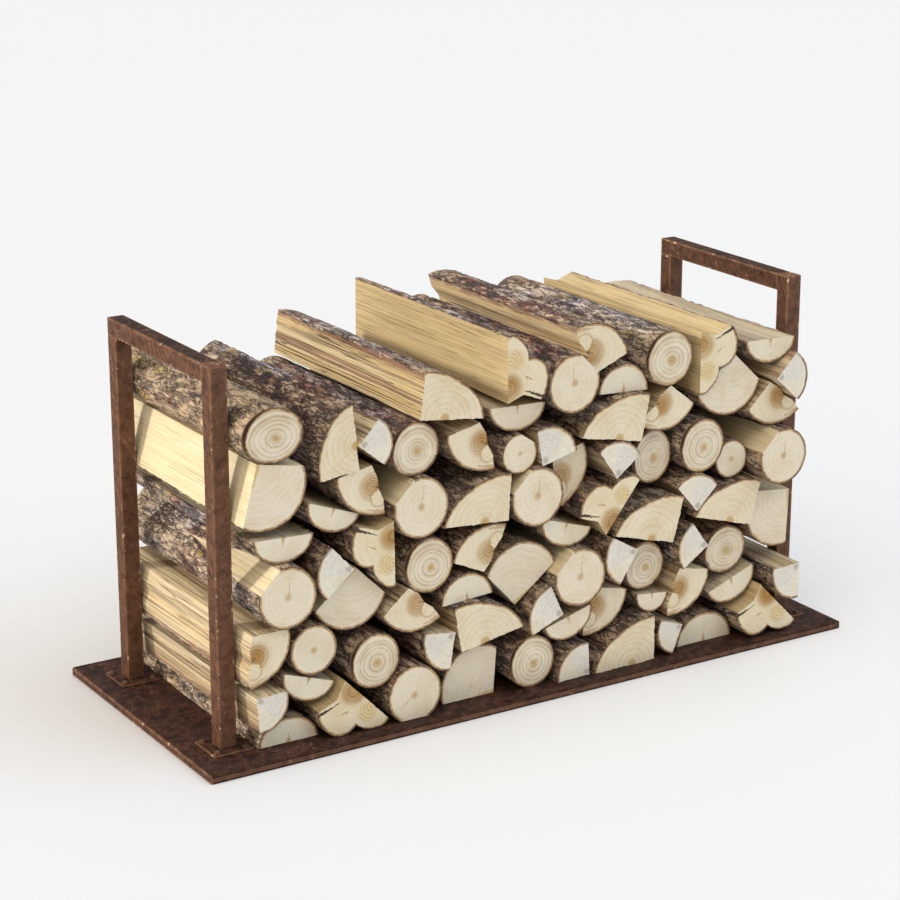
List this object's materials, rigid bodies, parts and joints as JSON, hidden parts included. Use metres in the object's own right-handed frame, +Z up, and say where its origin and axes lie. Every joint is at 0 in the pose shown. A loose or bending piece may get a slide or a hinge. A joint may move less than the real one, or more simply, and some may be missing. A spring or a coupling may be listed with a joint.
{
  "type": "firewood bundle in a rack",
  "caption": "Low rusty-steel log rack, a base plate with an open end frame at each end, filled with a stacked pile of round and split firewood lying front to back.",
  "frame": {"origin": "on the floor, under the middle of the base plate", "axes": "+X along the rack from the left end frame to the right one, +Y from the sawn front ends to the back, +Z up"},
  "size_m": [1.076, 0.45, 0.548],
  "materials": {
    "rusty_steel": "rusted dark brown, scratched, with worn bright edges",
    "foot_steel": "rusted, a little more orange than the frame",
    "round_wood": "sawn pale end grain with rings, grey-brown fissured bark round it",
    "split_wood": "straw-coloured split faces with dark grain streaks, bark on the round side"
  },
  "bodies": {
    "root": {"base_plate": "rusty_steel", "left_front_foot": "foot_steel", "left_front_post": "rusty_steel", "left_rear_foot": "foot_steel", "left_rear_post": "rusty_steel", "left_top_bar": "rusty_steel", "right_front_foot": "foot_steel", "right_front_post": "rusty_steel", "right_rear_foot": "foot_steel", "right_rear_post": "rusty_steel", "right_top_bar": "rusty_steel", "ring_log_01": "round_wood", "ring_log_02": "round_wood", "ring_log_03": "round_wood", "ring_log_04": "round_wood", "ring_log_05": "round_wood", "ring_log_06": "round_wood", "ring_log_07": "round_wood", "ring_log_08": "round_wood", "ring_log_09": "round_wood", "ring_log_10": "round_wood", "slab_log_01": "round_wood", "slab_log_02": "round_wood", "slab_log_03": "round_wood", "slab_log_04": "round_wood", "slab_log_05": "round_wood", "slab_log_06": "round_wood", "slab_log_07": "round_wood", "quarter_log_01": "split_wood", "quarter_log_02": "split_wood", "quarter_log_03": "split_wood", "quarter_log_04": "split_wood", "quarter_log_05": "split_wood", "quarter_log_06": "split_wood", "half_log_01": "split_wood", "half_log_02": "split_wood", "half_log_03": "split_wood", "split_log_01": "split_wood", "split_log_02": "split_wood", "split_log_03": "split_wood", "split_log_04": "split_wood", "split_log_05": "split_wood", "split_log_06": "split_wood", "split_log_07": "split_wood", "split_log_08": "split_wood", "knot_log_01": "split_wood", "knot_log_02": "split_wood", "knot_log_03": "split_wood", "knot_log_04": "split_wood", "knot_log_05": "split_wood", "knot_log_06": "split_wood", "knot_log_07": "split_wood", "knot_log_08": "split_wood", "knot_log_09": "split_wood", "twin_log_01": "split_wood", "twin_log_02": "split_wood", "twin_log_03": "split_wood", "twin_log_04": "split_wood", "twin_log_05": "split_wood", "twin_log_06": "split_wood"}
  },
  "joints": []
}
